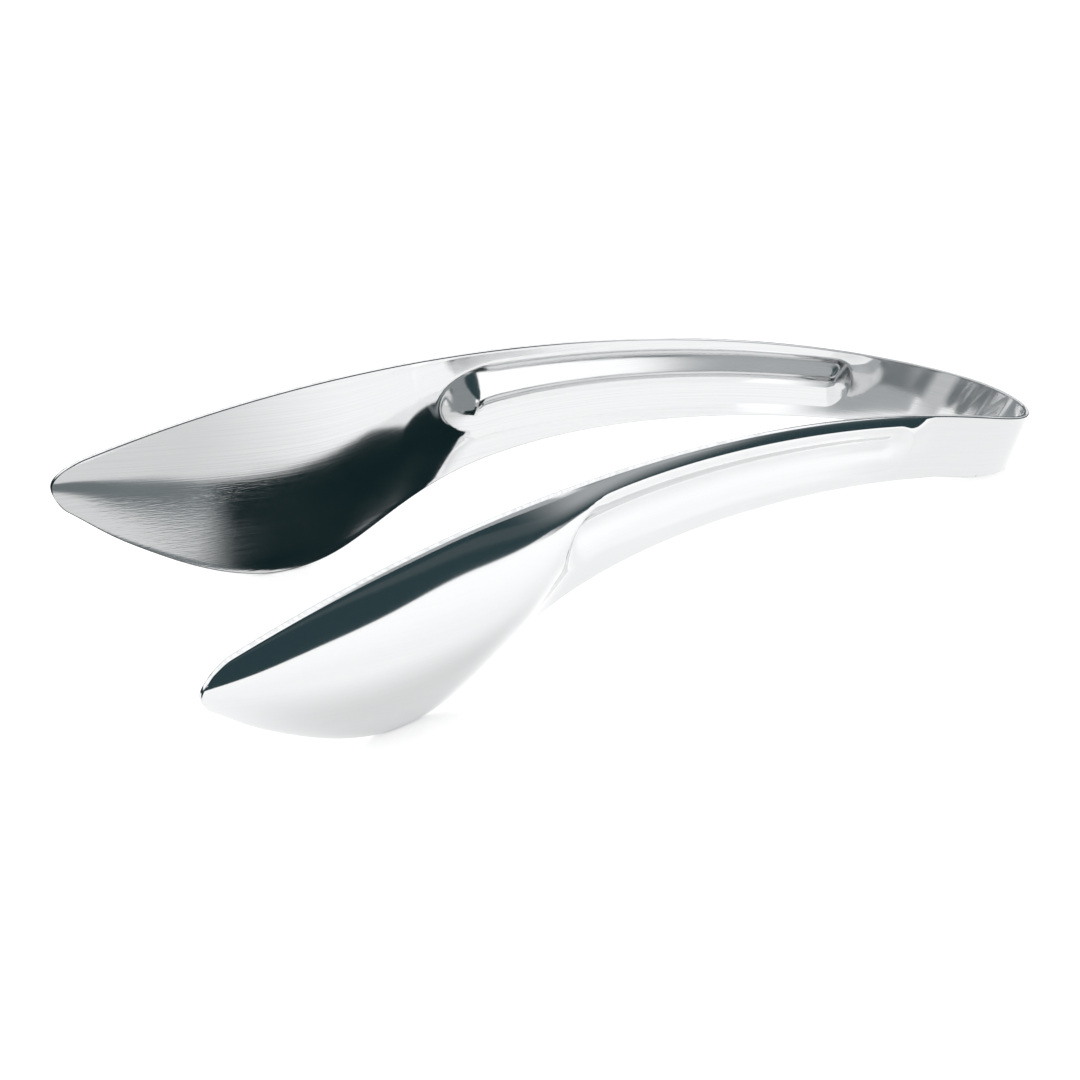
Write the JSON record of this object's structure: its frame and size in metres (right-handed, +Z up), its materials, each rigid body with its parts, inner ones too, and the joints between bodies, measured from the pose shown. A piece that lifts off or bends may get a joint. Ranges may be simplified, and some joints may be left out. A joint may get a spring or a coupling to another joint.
{
  "type": "bread tongs",
  "caption": "Sprung bread tongs folded from one strip of polished stainless steel, with finger recesses and dished leaf-shaped blades.",
  "frame": {"origin": "on the table under the middle of the tongs' box", "axes": "+X from the blades' tips towards the bow, +Y across the tongs towards the far arm, +Z up; the arms mirror each other across Y = 0"},
  "size_m": [0.2522, 0.0862, 0.0557],
  "materials": {
    "bow_steel": "polished, with a fine satin grain inside the bend",
    "near_arm_steel": "mirror polished outside, finely brushed inside the blade",
    "far_arm_steel": "mirror polished outside, finely brushed inside the blade"
  },
  "bodies": {
    "bow": {"spring_bow": "bow_steel"},
    "near_arm": {"near_arm": "near_arm_steel"},
    "far_arm": {"far_arm": "far_arm_steel"}
  },
  "joints": [
    {"name": "near_arm_flex", "type": "hinge", "parent": "bow", "child": "near_arm", "pos_m": [0.10944, -0.00964, 0.01732], "axis": [-0.299, 0, -0.9543], "range_deg": [0, 10], "stiffness_Nm_per_rad": 8},
    {"name": "far_arm_flex", "type": "hinge", "parent": "bow", "child": "far_arm", "pos_m": [0.10944, 0.00964, 0.01732], "axis": [0.299, 0, 0.9543], "range_deg": [0, 10], "stiffness_Nm_per_rad": 8}
  ],
  "couplings": [
    {"joint": "far_arm_flex", "follows": "near_arm_flex", "ratio": 1}
  ]
}
